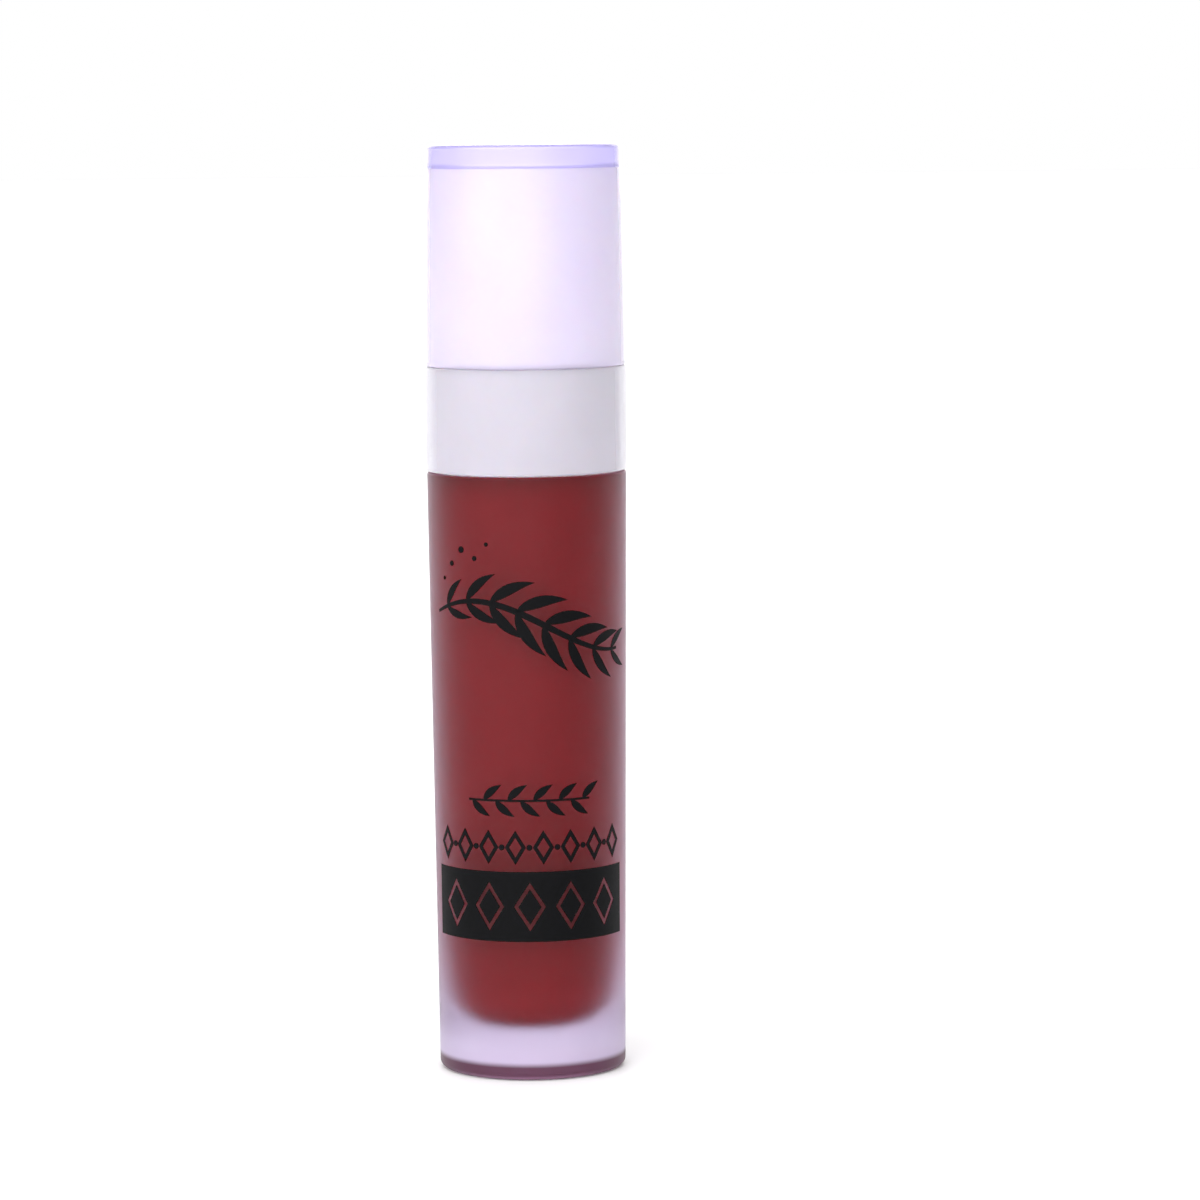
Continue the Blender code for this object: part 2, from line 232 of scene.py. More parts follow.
def held(outline):
    """Adds points near the ends of the outline's long stretches, so that smooth shading leaves them flat."""
    rows = []
    for before, after in zip(outline, outline[1:] + outline[:1]):
        rows.append(before)
        length = (after - before).length
        if length > LONG and not (on_axis(before) and on_axis(after)):
            rows += [before.lerp(after, HOLD / length), before.lerp(after, 1 - HOLD / length)]
    return rows


def object_of(name, bm, materials):
    """Turns a bmesh in millimetres into a smooth-shaded object in metres."""
    bmesh.ops.recalc_face_normals(bm, faces=bm.faces)
    bmesh.ops.scale(bm, vec=(MM, MM, MM), verts=bm.verts)
    mesh = bpy.data.meshes.new(name)
    bm.to_mesh(mesh)
    bm.free()
    for surface in materials:
        mesh.materials.append(surface)
    mesh.shade_smooth()
    mesh.set_sharp_from_angle(angle=SHARP_ABOVE)
    made = bpy.data.objects.new(name, mesh)
    bpy.context.scene.collection.objects.link(made)
    return made


def lathe(name, outline, materials, segments=SEGMENTS, ridge=None, part_of=None):
    """Turns an outline of (r, z) points about Z. It is closed unless it starts on the axis and ends there.
    ridge(r, z, angle) adds to the radius, and part_of(centre) gives the number of a face's material."""
    bm = bmesh.new()
    rings = []
    for point in held(outline):
        r, z = point
        if on_axis(point):
            rings.append([bm.verts.new((0, 0, z))] * segments)
            continue
        ring = []
        for side in range(segments):
            angle = math.tau * side / segments
            grown = r + (ridge(r, z, angle) if ridge else 0)
            ring.append(bm.verts.new((grown * math.cos(angle), grown * math.sin(angle), z)))
        rings.append(ring)
    pairs = list(zip(rings, rings[1:]))
    if not on_axis(outline[0]):
        pairs.append((rings[-1], rings[0]))
    for lower, upper in pairs:
        for side in range(segments):
            after = (side + 1) % segments
            corners = [lower[side], lower[after], upper[after], upper[side]]
            face = bm.faces.new(list(dict.fromkeys(corners)))
            if part_of:
                face.material_index = part_of(face.calc_center_median())
    return object_of(name, bm, materials)


def thread_height(z, angle, foot):
    """How much of a thread's ridge stands at this height and angle, from 0 to 1."""
    most = 0
    for start in range(THREAD_STARTS):
        along = (angle - math.tau * start / THREAD_STARTS) % math.tau
        while along <= THREAD_TURNS * math.tau:
            away = abs(z - foot - THREAD_LEAD * along / math.tau)
            flank = (THREAD_BASE_WIDTH / 2 - away) / (THREAD_BASE_WIDTH - THREAD_CREST_WIDTH) * 2
            fade = min(along, THREAD_TURNS * math.tau - along) / THREAD_FADE
            most = max(most, min(flank, fade, 1))
            along += math.tau
    return most


def carved(target, cutter):
    """Cuts the cutter out of the target for good, and removes the cutter."""
    modifier = target.modifiers.new("carve", "BOOLEAN")
    modifier.operation = "DIFFERENCE"
    modifier.object = cutter
    graph = bpy.context.evaluated_depsgraph_get()
    mesh = bpy.data.meshes.new_from_object(target.evaluated_get(graph))
    target.modifiers.remove(modifier)
    target.data = mesh
    bpy.data.objects.remove(cutter, do_unlink=True)
    return target


def place(piece, body, slot, *nodes):
    """Makes a piece ride on a body and hides the CAD nodes that it replaces. The slot is not used."""
    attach(piece, body)
    if nodes:
        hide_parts(*nodes)
    return piece


# --- Material helpers ---------------------------------------------------------------------------


def linear(colour):
    """An sRGB colour of 0 to 255 as linear light."""
    return tuple((channel / 255) ** 2.2 for channel in colour)


class Surface:
    """A Principled material whose nodes are added one by one."""

    def __init__(self, name, **constants):
        self.material = bpy.data.materials.new(name)
        self.material.use_nodes = True
        self.tree = self.material.node_tree
        self.shader = self.tree.nodes["Principled BSDF"]
        for socket, value in constants.items():
            self.shader.inputs[socket.replace("_", " ")].default_value = value
        self.coordinates = self.tree.nodes.new("ShaderNodeTexCoord").outputs["Object"]

    def noise(self, per_mm, detail=3.0, stretch=(1, 1, 1)):
        """Noise of about that many features to the millimetre."""
        mapping = self.tree.nodes.new("ShaderNodeMapping")
        mapping.inputs["Scale"].default_value = [per_mm / MM * share for share in stretch]
        self.tree.links.new(self.coordinates, mapping.inputs["Vector"])
        texture = self.tree.nodes.new("ShaderNodeTexNoise")
        texture.inputs["Scale"].default_value = 1.0
        texture.inputs["Detail"].default_value = detail
        self.tree.links.new(mapping.outputs["Vector"], texture.inputs["Vector"])
        return texture.outputs["Fac"]

    def colour(self, factor, dark, light):
        """The base colour runs from dark to light as a noise does from low to high."""
        ramp = self.tree.nodes.new("ShaderNodeValToRGB")
        for element, place_at, shade in zip(ramp.color_ramp.elements, NOISE_LOW_HIGH, (dark, light)):
            element.position = place_at
            element.color = (*shade, 1.0)
        self.tree.links.new(factor, ramp.inputs["Fac"])
        self.tree.links.new(ramp.outputs["Color"], self.shader.inputs["Base Color"])

    def fade(self, full, none, at_full=1.0, at_none=0.0):
        """A value that is at_full up to the height full, and turns smoothly into at_none by the height none.
        If full is the higher one, at_full lies above it."""
        split = self.tree.nodes.new("ShaderNodeSeparateXYZ")
        self.tree.links.new(self.coordinates, split.inputs["Vector"])
        value = self.tree.nodes.new("ShaderNodeMapRange")
        value.interpolation_type = "SMOOTHSTEP"
        value.inputs["From Min"].default_value = full * MM
        value.inputs["From Max"].default_value = none * MM
        value.inputs["To Min"].default_value = at_full
        value.inputs["To Max"].default_value = at_none
        self.tree.links.new(split.outputs["Z"], value.inputs["Value"])
        return value.outputs["Result"]

    def tint(self, full, none, shade):
        """Multiplies the base colour by a shade that is full and faded out at the heights that fade takes."""
        tint = self.tree.nodes.new("ShaderNodeMix")
        tint.data_type = "RGBA"
        tint.blend_type = "MULTIPLY"
        base = self.shader.inputs["Base Color"]
        self.tree.links.new(self.fade(full, none), tint.inputs["Factor"])
        self.tree.links.new(base.links[0].from_socket, tint.inputs["A"])
        tint.inputs["B"].default_value = (*shade, 1.0)
        self.tree.links.new(tint.outputs["Result"], base)

    def roughness(self, factor, low, high):
        """The roughness runs from low to high as the factor does from 0 to 1."""
        spread = self.tree.nodes.new("ShaderNodeMapRange")
        spread.inputs["To Min"].default_value = low
        spread.inputs["To Max"].default_value = high
        self.tree.links.new(factor, spread.inputs["Value"])
        self.tree.links.new(spread.outputs["Result"], self.shader.inputs["Roughness"])

    def bump(self, factor, depth_mm):
        """The factor stands out of the surface as relief of about that depth."""
        bump = self.tree.nodes.new("ShaderNodeBump")
        bump.inputs["Distance"].default_value = depth_mm * MM
        self.tree.links.new(factor, bump.inputs["Height"])
        self.tree.links.new(bump.outputs["Normal"], self.shader.inputs["Normal"])


# --- Materials ----------------------------------------------------------------------------------

# Heights where a shade on the bottle or the cap is full and where it has faded out.
FOOT_PAINTED_SHADE_Z = (1.2, 1.9)  # painted shade: the foot of the bottle is painted dark mauve, for the gloss's light gathered in the thick foot
MILKY_FOOT_AND_PAINTED_GLOW_Z = (2.5, 6.0)  # the frosting is denser towards the foot, and the foot is painted lighter there as a painted glow
WALL_PAINTED_SHADE_Z = (10.0, 5.0)  # painted shade: the wall around the gloss is painted darker and redder, for the gloss's light seen through it
CAP_END_Z = (LINER_TOP, LINER_TOP - 0.1)  # the cap's solid end is deeper in colour than its wall
MILKY_FOOT_CLEARNESS = 0.6
FOOT_PAINTED_GLOW = (1.2, 1.26, 1.22)
WALL_PAINTED_SHADE = (0.81, 0.6, 0.64)


def frosted(name, dark, light, clear):
    """Acid-frosted clear plastic: a fine grain that blurs what is behind it."""
    s = Surface(name, Transmission_Weight=clear, IOR=1.57, Specular_Tint=(0.3, 0.3, 0.3, 1.0))
    s.colour(s.noise(0.12), linear(dark), linear(light))
    s.roughness(s.noise(1.5), 0.37, 0.43)
    s.bump(s.noise(7.0, detail=2.0), 0.004)
    return s


def frosted_plastic():
    """The frosted outside of the bottle, with a painted glow and painted shade that change with height."""
    s = frosted("frosted_plastic", (207, 193, 225), (213, 200, 231), 1.0)
    # painted glow: the foot is painted lighter, for light that comes up through the thick base
    s.tint(*MILKY_FOOT_AND_PAINTED_GLOW_Z, FOOT_PAINTED_GLOW)
    # painted shade: the wall is painted darker and redder, for the gloss's light that shows through it
    s.tint(*WALL_PAINTED_SHADE_Z, WALL_PAINTED_SHADE)
    # painted shade: a dark mauve band at the foot, for the gloss's light gathered in the thick base
    s.tint(*FOOT_PAINTED_SHADE_Z, linear((98, 60, 72)))
    clearness = s.fade(*MILKY_FOOT_AND_PAINTED_GLOW_Z, at_full=MILKY_FOOT_CLEARNESS, at_none=1.0)
    s.tree.links.new(clearness, s.shader.inputs["Transmission Weight"])
    return s.material


def base_plastic():
    """The ground underside of the base, which throws light back up."""
    return frosted("base_plastic", (246, 240, 253), (251, 247, 255), 0.1).material


def bottle_inside():
    """Smooth moulded inside and neck of the bottle, with faint flow lines."""
    s = Surface("bottle_inside", Transmission_Weight=1.0, IOR=1.57)
    s.colour(s.noise(0.1), linear((250, 247, 253)), linear((254, 252, 255)))
    s.roughness(s.noise(0.5), 0.02, 0.06)
    s.bump(s.noise(0.6, stretch=(1, 1, 0.1)), 0.004)
    return s.material


def shoulder_plastic():
    """The milky shoulder that fills the clear collar."""
    s = Surface("shoulder_plastic", Subsurface_Weight=0.4, Subsurface_Scale=1.0 * MM, Specular_IOR_Level=0.1)
    s.colour(s.noise(0.15), linear((243, 236, 242)), linear((248, 242, 247)))
    s.roughness(s.noise(1.0), 0.5, 0.6)
    s.bump(s.noise(5.0), 0.003)
    return s.material


def collar_acrylic():
    """Polished clear ring, with a trace of the shoulder's milkiness."""
    s = Surface("collar_acrylic", Transmission_Weight=0.7, IOR=1.49)
    s.colour(s.noise(0.1), linear((232, 229, 238)), linear((237, 234, 243)))
    s.roughness(s.noise(0.6), 0.02, 0.05)
    s.bump(s.noise(0.4, stretch=(1, 1, 0.2)), 0.003)
    return s.material


def cap_plastic():
    """Lavender-tinted clear plastic of the outer cap."""
    s = Surface("cap_plastic", Transmission_Weight=0.65, IOR=1.49)
    s.colour(s.noise(0.08), linear((238, 228, 254)), linear((242, 234, 255)))
    s.tint(*CAP_END_Z, linear((221, 220, 253)))
    s.roughness(s.noise(0.8), 0.07, 0.11)
    s.bump(s.noise(0.5, stretch=(1, 1, 0.3)), 0.004)
    return s.material


def liner_plastic():
    s = Surface("liner_plastic", Subsurface_Weight=0.25, Subsurface_Scale=0.8 * MM, IOR=1.49)
    s.colour(s.noise(0.25), linear((247, 241, 253)), linear((252, 248, 255)))
    s.roughness(s.noise(1.2), 0.30, 0.42)
    s.bump(s.noise(2.5, detail=4.0), 0.004)
    return s.material


def gloss_liquid():
    """Creamy dark red gloss, slightly uneven in tone."""
    s = Surface("gloss_liquid", IOR=1.45, Specular_IOR_Level=0.1)
    s.colour(s.noise(0.12, detail=4.0), linear((165, 37, 41)), linear((173, 40, 44)))
    s.roughness(s.noise(0.4), 0.30, 0.40)
    s.bump(s.noise(0.25), 0.02)
    return s.material


def black_ink():
    s = Surface("black_ink", Specular_IOR_Level=0.1)
    s.colour(s.noise(2.0), linear((5, 5, 8)), linear((10, 10, 14)))
    s.roughness(s.noise(3.0), 0.45, 0.60)
    s.bump(s.noise(9.0), 0.003)
    return s.material


def wiper_plastic():
    s = Surface("wiper_plastic", Subsurface_Weight=0.3, Subsurface_Scale=0.6 * MM)
    s.colour(s.noise(0.5), linear((240, 236, 240)), linear((248, 244, 247)))
    s.roughness(s.noise(1.5), 0.40, 0.52)
    s.bump(s.noise(3.0), 0.004)
    return s.material


def washer_foam():
    """Foamed washer: a fine cell pattern."""
    s = Surface("washer_foam")
    s.colour(s.noise(4.0, detail=1.0), linear((225, 225, 228)), linear((240, 240, 242)))
    s.roughness(s.noise(4.0), 0.65, 0.80)
    s.bump(s.noise(5.0, detail=1.0), 0.02)
    return s.material


def wand_plastic():
    s = Surface("wand_plastic", Subsurface_Weight=0.35, Subsurface_Scale=1.0 * MM)
    s.colour(s.noise(0.3), linear((219, 202, 203)), linear((223, 207, 208)))
    s.roughness(s.noise(1.0), 0.26, 0.36)
    s.bump(s.noise(0.8, stretch=(1, 1, 0.15)), 0.006)
    return s.material


def tip_elastomer():
    s = Surface("tip_elastomer")
    s.colour(s.noise(0.8), linear((200, 150, 150)), linear((212, 165, 163)))
    s.roughness(s.noise(2.0), 0.45, 0.55)
    s.bump(s.noise(3.0), 0.006)
    return s.material


def flock_fibre():
    """Nylon flock soaked in gloss: dark crimson in clumps, with a soft sheen."""
    s = Surface(
        "flock_fibre",
        Specular_IOR_Level=0.2,
        Sheen_Weight=0.1,
        Sheen_Roughness=0.5,
        Sheen_Tint=(*linear((220, 70, 95)), 1.0),
    )
    s.colour(s.noise(1.6, detail=3.0), linear((95, 6, 20)), linear((142, 12, 38)))
    s.roughness(s.noise(3.0), 0.55, 0.80)
    s.bump(s.noise(6.0), 0.02)
    return s.material


def pale_floor():
    s = Surface("pale_floor")
    s.colour(s.noise(0.01), linear((246, 246, 247)), linear((250, 250, 251)))
    s.roughness(s.noise(0.05), 0.55, 0.65)
    s.bump(s.noise(0.5), 0.01)
    return s.material


# --- The tube -----------------------------------------------------------------------------------


def make_bottle():
    frosted_top = COLLAR_FOOT - GAP
    outline = rounded(
        [
            (0, 0, 0),
            (BASE_R, 0, 0.7),
            (BODY_R, frosted_top, 0.25),
            (SHOULDER_R - SHOULDER_WAIST, frosted_top, SHOULDER_WAIST),
            (SHOULDER_R, frosted_top + SHOULDER_WAIST_HEIGHT, 1.0),
            (SHOULDER_R, COLLAR_TOP - GAP, 0.8),
            (NECK_R, COLLAR_TOP - GAP, 0.2),
            (NECK_R, NECK_BEAD_Z[0], 0.15),
            (NECK_BEAD_R, NECK_BEAD_Z[0], 0.2),
            (NECK_BEAD_R, NECK_BEAD_Z[1], 0.2),
            (NECK_R, NECK_BEAD_Z[1], 0.15),
            (NECK_R, NECK_TOP, 0.3),
            (NECK_BORE_R, NECK_TOP, 0.2),
            (NECK_BORE_R, NECK_BORE_FOOT, 1.0),
            (CAVITY_TOP_R, NECK_BORE_FOOT - BORE_CONE, 1.0),
            (CAVITY_TOP_R, CAVITY_TOP, 0),
            (CAVITY_KNEE_R, CAVITY_KNEE, CAVITY_KNEE_FILLET),
            (CAVITY_FLOOR_R, GLOSS_FOOT - GAP, CAVITY_FLOOR_FILLET),
            (0, GLOSS_FOOT - GAP, 0),
        ]
    )
    thread_low, thread_high = thread_reach(THREAD_FOOT)
    outline = rows_between(outline, thread_low, thread_high)

    def ridge(r, z, angle):
        if r < NECK_R - EDGE or not thread_low < z < thread_high:
            return 0
        return (NECK_CREST_R - NECK_R) * thread_height(z, angle, THREAD_FOOT)

    surfaces = [frosted_plastic(), bottle_inside(), shoulder_plastic(), base_plastic()]
    outside, inside, shoulder, underside = range(len(surfaces))

    def part_of(centre):
        in_cavity = math.hypot(centre.x, centre.y) < CAVITY_TOP_R + EDGE and centre.z > GLOSS_FOOT / 2
        if in_cavity or centre.z > COLLAR_TOP:
            return inside
        if centre.z < EDGE:
            return underside
        return shoulder if centre.z > frosted_top + EDGE else outside

    made = lathe("bottle_body", outline, surfaces, ridge=ridge, part_of=part_of)
    return place(made, "tube", "frosted_bottle", "bottle")


def make_collar():
    outline = rounded(
        [
            (COLLAR_INNER_R, COLLAR_FOOT, 0.1),
            (COLLAR_R, COLLAR_FOOT, 0.2),
            (COLLAR_R, CAP_MOUTH - SEAM, 0.1),
            (COLLAR_INNER_R, CAP_MOUTH - SEAM, 0.1),
        ]
    )
    return place(lathe("collar_clear", outline, [collar_acrylic()]), "tube", "clear_collar", "collar_ring")


def packed_tip():
    """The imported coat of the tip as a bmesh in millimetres, with its points merged."""
    bm = bmesh.new()
    bm.from_mesh(frame["nodes"]["tip_flock"].data)
    bmesh.ops.scale(bm, vec=(1 / MM, 1 / MM, 1 / MM), verts=bm.verts)
    bmesh.ops.remove_doubles(bm, verts=bm.verts, dist=0.001)
    bmesh.ops.recalc_face_normals(bm, faces=bm.faces)
    return bm


def tip_room(name, grow):
    """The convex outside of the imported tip, grown."""
    packed = packed_tip()
    middle = sum((v.co for v in packed.verts), Vector()) / len(packed.verts)
    bm = bmesh.new()
    for v in packed.verts:
        bm.verts.new(v.co + (v.co - middle).normalized() * grow)
    packed.free()
    hull = bmesh.ops.convex_hull(bm, input=bm.verts)
    left_over = hull["geom_interior"] + hull["geom_unused"]
    buried = {item for item in left_over if isinstance(item, bmesh.types.BMVert)}
    bmesh.ops.delete(bm, geom=list(buried), context="VERTS")
    return object_of(name, bm, [])


def make_gloss():
    """The liquid wets the cavity's wall, climbs it in a meniscus and leaves room for the wand and the tip."""
    foot = GLOSS_FOOT - GAP
    widening = (CAVITY_TOP_R - CAVITY_KNEE_R) * (GLOSS_LEVEL - CAVITY_KNEE) / (CAVITY_TOP - CAVITY_KNEE)
    wall_r = CAVITY_KNEE_R + widening + CONTACT
    outline = rounded(
        [
            (0, foot - CONTACT, 0),
            (CAVITY_FLOOR_R + CONTACT, foot - CONTACT, CAVITY_FLOOR_FILLET),
            (CAVITY_KNEE_R + CONTACT, CAVITY_KNEE, CAVITY_KNEE_FILLET),
            (wall_r, GLOSS_LEVEL, 0),
            (wall_r - MENISCUS, GLOSS_LEVEL - MENISCUS, MENISCUS),
            (0, GLOSS_LEVEL - MENISCUS, 0),
        ]
    )
    made = lathe("gloss_fill", outline, [gloss_liquid()])
    well_r, foot, top = WAND_R + WELL_GAP, WAND_FOOT - WELL_BELOW, GLOSS_LEVEL + WELL_ABOVE
    well = ((0, foot), (well_r, foot), (well_r, top), (0, top))
    carved(made, lathe("wand_well", [Vector(corner) for corner in well], [], segments=FINE_SEGMENTS))
    carved(made, tip_room("tip_well", WELL_GAP))
    return place(made, "tube", "gloss", "gloss")


def make_wiper():
    """A flanged sleeve that narrows to the lip around the wand."""
    lip_r, flange_foot = WAND_R + GAP, NECK_TOP + GAP
    cone_outside, cone_inside = WIPER_CONE
    outline = rounded(
        [
            (WIPER_BORE_R, WIPER_TOP, 0.25),
            (WIPER_BORE_R, WIPER_FOOT + cone_inside, 0.5),
            (lip_r, WIPER_FOOT + LIP_HEIGHT, 0),
            (lip_r, WIPER_FOOT, 0.1),
            (lip_r + LIP_WALL, WIPER_FOOT, 0),
            (WIPER_R, WIPER_FOOT + cone_outside, 0.5),
            (WIPER_R, flange_foot, 0.05),
            (WIPER_FLANGE_R, flange_foot, 0.1),
            (WIPER_FLANGE_R, WIPER_TOP, 0.2),
        ]
    )
    return place(lathe("wiper_plug", outline, [wiper_plastic()]), "tube", "wiper", "wiper")


# --- The print ----------------------------------------------------------------------------------

INK_THICKNESS = 0.03
PRINT_STEP = 0.5  # the ink bends with the bottle at least this often
DISC_SIDES = 12
LEAF_ANGLE = math.radians(52)  # between a leaf and its stem
SPRIG_MIDDLE_Z = 45.2
SPRIG_HALF_WIDTH = 10.6
BERRIES = (  # arc length, height, radius
    (-8.2, 50.7, 0.28),
    (-6.9, 52.1, 0.34),
    (-5.3, 51.3, 0.26),
    (-4.0, 52.7, 0.22),
    (-9.4, 49.2, 0.2),
)
LEAF_ROW_Z = 27.7
DIAMOND_ROW_Z = 23.1
BAND_Z = (13.8, 20.7)
BAND_HALF_WIDTH = 11.2


def ribbon(line, width_at):
    """The outline of a stroke along a line, width_at(0 to 1) wide."""
    left, right = [], []
    for index, point in enumerate(line):
        along = line[min(index + 1, len(line) - 1)] - line[max(index - 1, 0)]
        across = Vector((-along.y, along.x)).normalized() * width_at(index / (len(line) - 1)) / 2
        left.append(point + across)
        right.append(point - across)
    return left + right[::-1]


def leaf(root, angle, length, width, curl):
    """A slender leaf that starts at root, is fullest just before its middle, and may curl to one side."""
    steps, lean_to_root, ends = 10, 0.8, 0.02
    line = []
    point = Vector(root)
    for step in range(steps + 1):
        line.append(point.copy())
        turn = angle + curl * step / steps
        point += Vector((math.cos(turn), math.sin(turn))) * length / steps
    return ribbon(line, lambda share: width * math.sin(math.pi * share ** lean_to_root) + ends)


def disc(centre, radius):
    turns = [math.tau * side / DISC_SIDES for side in range(DISC_SIDES)]
    return [Vector(centre) + Vector((math.cos(turn), math.sin(turn))) * radius for turn in turns]


def diamond(centre, half_width, half_height):
    u, z = centre
    return [
        Vector((u + half_width, z)),
        Vector((u, z + half_height)),
        Vector((u - half_width, z)),
        Vector((u, z - half_height)),
    ]


def diamond_frame(centre, half_width, half_height, stroke):
    """The outside and the inside of an outlined diamond."""
    shrink = 1 - stroke / half_width
    outside = diamond(centre, half_width, half_height)
    inside = diamond(centre, half_width * shrink, half_height * shrink)
    return [outside, inside]


def stem_point(share):
    """The sprig's stem: a lazy S across the front, which falls a little to the right."""
    rise, half_waves, start, fall = 2.2, 1.5, 0.3, 1.0
    wave = rise * math.sin(math.pi * half_waves * share + start)
    return Vector((SPRIG_HALF_WIDTH * (2 * share - 1), SPRIG_MIDDLE_Z + wave - fall * share))


def sprig():
    """A stem with leaves in pairs that get smaller towards its ends."""
    stem_steps, stem_ends, stem_swell = 48, 0.28, 0.35
    pairs, first_pair, nearby = 8, 0.6, 0.02
    length, width, curl, smallest = 5.4, 1.15, 0.7, 0.55
    stem = [stem_point(step / stem_steps) for step in range(stem_steps + 1)]
    shapes = [[ribbon(stem, lambda share: stem_ends + stem_swell * math.sin(math.pi * share))]]
    for pair in range(pairs):
        share = (pair + first_pair) / pairs
        root = stem_point(share)
        along = stem_point(min(share + nearby, 1)) - stem_point(share - nearby)
        heading = math.atan2(along.y, along.x)
        size = smallest + (1 - smallest) * math.sin(math.pi * share)
        for side in (-1, 1):
            angle = heading + side * LEAF_ANGLE
            shapes.append([leaf(root, angle, length * size, width * size, curl=-side * curl)])
    return shapes


def berries():
    """Small dots that scatter above the sprig's left end."""
    return [[disc((u, z), radius)] for u, z, radius in BERRIES]


def leaf_row():
    """A row of small slanted leaves, leaning in turn to either side of a thin stem."""
    count, first, half_width = 10, 0.35, 6.3
    stem_steps, stem_width = 40, 0.22
    length, width, curl = 2.5, 0.75, 0.5
    line = [
        Vector((-half_width + 2 * half_width * step / stem_steps, LEAF_ROW_Z))
        for step in range(stem_steps + 1)
    ]
    shapes = [[ribbon(line, lambda share: stem_width)]]
    for index in range(count):
        u = -half_width + 2 * half_width * (index + first) / count
        side = 1 if index % 2 else -1
        shapes.append([leaf((u, LEAF_ROW_Z), side * LEAF_ANGLE, length, width, curl=-side * curl)])
    return shapes


def diamond_row():
    """Outlined diamonds with dots between them."""
    count, pitch = 8, 2.75
    half_width, half_height, stroke, dot_r = 1.05, 1.7, 0.45, 0.3
    shapes = []
    for index in range(count):
        u = pitch * (index - (count - 1) / 2)
        shapes.append(diamond_frame((u, DIAMOND_ROW_Z), half_width, half_height, stroke))
        if index:
            shapes.append([disc((u - pitch / 2, DIAMOND_ROW_Z), dot_r)])
    return shapes


def band():
    """A dark band with outlined diamonds left open in it."""
    low, high = BAND_Z
    count, pitch = 5, 4.1
    half_width, half_height, stroke = 1.55, 2.4, 0.42
    corners = ((-1, low), (1, low), (1, high), (-1, high))
    outlines = [[Vector((BAND_HALF_WIDTH * side, z)) for side, z in corners]]
    for index in range(count):
        centre = (pitch * (index - (count - 1) / 2), (low + high) / 2)
        outlines += diamond_frame(centre, half_width, half_height, stroke)
    return [outlines]


def filled(outlines):
    """A flat layer of ink between outlines. Where they are nested, they are ink and gap in turn."""
    curve = bpy.data.curves.new("ink", "CURVE")
    curve.dimensions = "2D"
    curve.fill_mode = "BOTH"
    curve.extrude = INK_THICKNESS / 2
    for outline in outlines:
        spline = curve.splines.new("POLY")
        spline.points.add(len(outline) - 1)
        spline.use_cyclic_u = True
        for point, (u, z) in zip(spline.points, outline):
            point.co = (u, z, 0, 1)
    flat = bpy.data.objects.new("ink", curve)
    bpy.context.scene.collection.objects.link(flat)
    graph = bpy.context.evaluated_depsgraph_get()
    mesh = bpy.data.meshes.new_from_object(flat.evaluated_get(graph))
    bpy.data.objects.remove(flat, do_unlink=True)
    return mesh


def inked(name, shapes, ink):
    """Lays shapes on the bottle as thin ink. A shape is a list of outlines, whose points are an arc length
    from the middle of the front and a height."""
    bm = bmesh.new()
    for outlines in shapes:
        bm.from_mesh(filled(outlines))
    bmesh.ops.remove_doubles(bm, verts=bm.verts, dist=1e-4)
    cuts = math.ceil(BAND_HALF_WIDTH / PRINT_STEP)
    for cut in range(-cuts, cuts + 1):
        everything = bm.verts[:] + bm.edges[:] + bm.faces[:]
        bmesh.ops.bisect_plane(bm, geom=everything, plane_co=(cut * PRINT_STEP, 0, 0), plane_no=(1, 0, 0))
    for v in bm.verts:
        u, z, layer = v.co
        surface_r = BASE_R + TAPER * z
        angle = u / surface_r - math.pi / 2
        r = surface_r + INK_THICKNESS + layer
        v.co = (r * math.cos(angle), r * math.sin(angle), z)
    return object_of(name, bm, [ink])


def make_print():
    ink = black_ink()
    for name, shapes in (
        ("print_sprig", sprig()),
        ("print_berries", berries()),
        ("print_leaf_row", leaf_row()),
        ("print_diamond_row", diamond_row()),
        ("print_band", band()),
    ):
        place(inked(name, shapes, ink), "tube", "frosted_bottle")


# --- The cap ------------------------------------------------------------------------------------


def make_washer():
    outline = rounded(
        [
            (WASHER_HOLE_R, WASHER_FOOT, 0.1),
            (WASHER_R, WASHER_FOOT, 0.2),
            (WASHER_R, WASHER_TOP, 0.2),
            (WASHER_HOLE_R, WASHER_TOP, 0.1),
        ]
    )
    return place(lathe("washer_ring", outline, [washer_foam()]), "cap_seal", "washer", "sealing_washer")


def make_cap_shell():
    inner_top = HEIGHT - CAP_END
    outline = rounded(
        [
            (0, HEIGHT, 0),
            (CAP_TOP_R, HEIGHT, 0.45),
            (CAP_MOUTH_R, CAP_MOUTH, 0.12),
            (CAP_MOUTH_R - CAP_WALL, CAP_MOUTH, 0.12),
            (CAP_TOP_R - CAP_WALL, inner_top, 0.4),
            (0, inner_top, 0),
        ]
    )
    return place(lathe("cap_outer", outline, [cap_plastic()]), "applicator", "cap_shell", "cap_shell")


